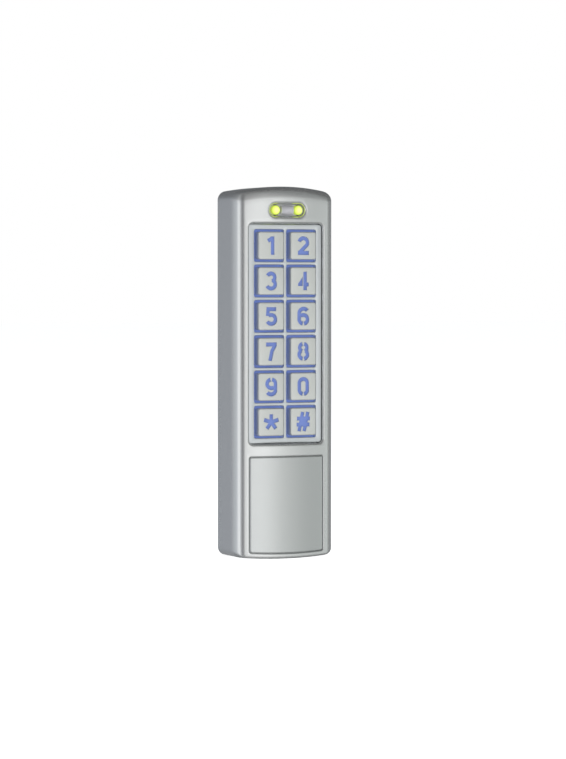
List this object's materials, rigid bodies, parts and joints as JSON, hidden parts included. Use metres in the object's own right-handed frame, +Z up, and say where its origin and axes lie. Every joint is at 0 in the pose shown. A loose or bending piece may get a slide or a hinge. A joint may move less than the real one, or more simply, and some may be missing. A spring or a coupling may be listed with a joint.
{
  "type": "keypad access reader",
  "caption": "Slim wall-mounted access reader with a crowned metal housing, lit metal keys, status lamps, a card antenna plate and a hook-on wall bracket.",
  "frame": {"origin": "middle of the wall bracket's back face, on the wall plane", "axes": "+Z up along the reader, +Y into the wall, so the keys face -Y, and +X to the right of someone facing the wall"},
  "size_m": [0.0434, 0.024, 0.148],
  "materials": {
    "silver_paint": "satin metallic silver paint over a die-cast shell",
    "plate_silver": "satin metallic silver, slightly darker than the shell",
    "frame_silver": "satin metallic silver",
    "key_metal": "fine satin metal",
    "lit_silicone": "translucent silicone lit blue from behind",
    "status_lamp": "clear lens lit lime",
    "clear_light_bar": "clear moulded light guide",
    "circuit_board": "green solder mask",
    "copper_coil": "enamelled copper wire",
    "ferrite": "dark ferrite sheet",
    "dark_plastic": "moulded black plastic",
    "terminal_green": "moulded green plastic",
    "plunger_plastic": "moulded off-white plastic",
    "cover_plastic": "moulded charcoal plastic, fine spark texture",
    "gasket_rubber": "black rubber",
    "screw_steel": "zinc-plated steel",
    "bracket_steel": "zinc-plated sheet steel"
  },
  "bodies": {
    "bracket": {"wall_bracket": "bracket_steel"},
    "reader": {"wall_gasket": "gasket_rubber", "housing": "silver_paint", "front_plate": "plate_silver", "keypad_frame": "frame_silver", "keymat": "lit_silicone", "keypad_board": "circuit_board", "status_lamp_left": "status_lamp", "status_lamp_right": "status_lamp", "light_bar": "clear_light_bar", "antenna_coil": "copper_coil", "ferrite_sheet": "ferrite", "main_board": "circuit_board", "board_connector": "dark_plastic", "controller_chip": "dark_plastic", "relay": "dark_plastic", "buzzer": "dark_plastic", "terminal_block": "terminal_green", "board_screw_left": "screw_steel", "board_screw_right": "screw_steel", "tamper_switch": "dark_plastic", "back_cover": "cover_plastic", "cable_grommet": "gasket_rubber", "cover_screw_top_left": "screw_steel", "cover_screw_top_right": "screw_steel", "cover_screw_bottom_left": "screw_steel", "cover_screw_bottom_right": "screw_steel", "security_screw": "screw_steel"},
    "plunger": {"tamper_plunger": "plunger_plastic"},
    "key_1": {"key_cap_1": "key_metal", "key_core_1": "lit_silicone"},
    "key_2": {"key_cap_2": "key_metal", "key_core_2": "lit_silicone"},
    "key_3": {"key_cap_3": "key_metal", "key_core_3": "lit_silicone"},
    "key_4": {"key_cap_4": "key_metal", "key_core_4": "lit_silicone"},
    "key_5": {"key_cap_5": "key_metal", "key_core_5": "lit_silicone"},
    "key_6": {"key_cap_6": "key_metal", "key_core_6": "lit_silicone"},
    "key_7": {"key_cap_7": "key_metal", "key_core_7": "lit_silicone"},
    "key_8": {"key_cap_8": "key_metal", "key_core_8": "lit_silicone"},
    "key_9": {"key_cap_9": "key_metal", "key_core_9": "lit_silicone"},
    "key_0": {"key_cap_0": "key_metal", "key_core_0": "lit_silicone"},
    "key_star": {"key_cap_star": "key_metal", "key_core_star": "lit_silicone"},
    "key_hash": {"key_cap_hash": "key_metal", "key_core_hash": "lit_silicone"}
  },
  "joints": [
    {"name": "reader_swing", "type": "hinge", "parent": "bracket", "child": "reader", "pos_m": [0, -0.0045, 0.0715], "axis": [-1, 0, 0], "range_deg": [0, 18]},
    {"name": "plunger_slide", "type": "slide", "parent": "reader", "child": "plunger", "axis": [0, 1, 0], "range_m": [0, 0.0015]},
    {"name": "press_1", "type": "slide", "parent": "reader", "child": "key_1", "axis": [0, 1, 0], "range_m": [0, 0.0008], "stiffness_N_per_m": 200},
    {"name": "press_2", "type": "slide", "parent": "reader", "child": "key_2", "axis": [0, 1, 0], "range_m": [0, 0.0008], "stiffness_N_per_m": 200},
    {"name": "press_3", "type": "slide", "parent": "reader", "child": "key_3", "axis": [0, 1, 0], "range_m": [0, 0.0008], "stiffness_N_per_m": 200},
    {"name": "press_4", "type": "slide", "parent": "reader", "child": "key_4", "axis": [0, 1, 0], "range_m": [0, 0.0008], "stiffness_N_per_m": 200},
    {"name": "press_5", "type": "slide", "parent": "reader", "child": "key_5", "axis": [0, 1, 0], "range_m": [0, 0.0008], "stiffness_N_per_m": 200},
    {"name": "press_6", "type": "slide", "parent": "reader", "child": "key_6", "axis": [0, 1, 0], "range_m": [0, 0.0008], "stiffness_N_per_m": 200},
    {"name": "press_7", "type": "slide", "parent": "reader", "child": "key_7", "axis": [0, 1, 0], "range_m": [0, 0.0008], "stiffness_N_per_m": 200},
    {"name": "press_8", "type": "slide", "parent": "reader", "child": "key_8", "axis": [0, 1, 0], "range_m": [0, 0.0008], "stiffness_N_per_m": 200},
    {"name": "press_9", "type": "slide", "parent": "reader", "child": "key_9", "axis": [0, 1, 0], "range_m": [0, 0.0008], "stiffness_N_per_m": 200},
    {"name": "press_0", "type": "slide", "parent": "reader", "child": "key_0", "axis": [0, 1, 0], "range_m": [0, 0.0008], "stiffness_N_per_m": 200},
    {"name": "press_star", "type": "slide", "parent": "reader", "child": "key_star", "axis": [0, 1, 0], "range_m": [0, 0.0008], "stiffness_N_per_m": 200},
    {"name": "press_hash", "type": "slide", "parent": "reader", "child": "key_hash", "axis": [0, 1, 0], "range_m": [0, 0.0008], "stiffness_N_per_m": 200}
  ]
}
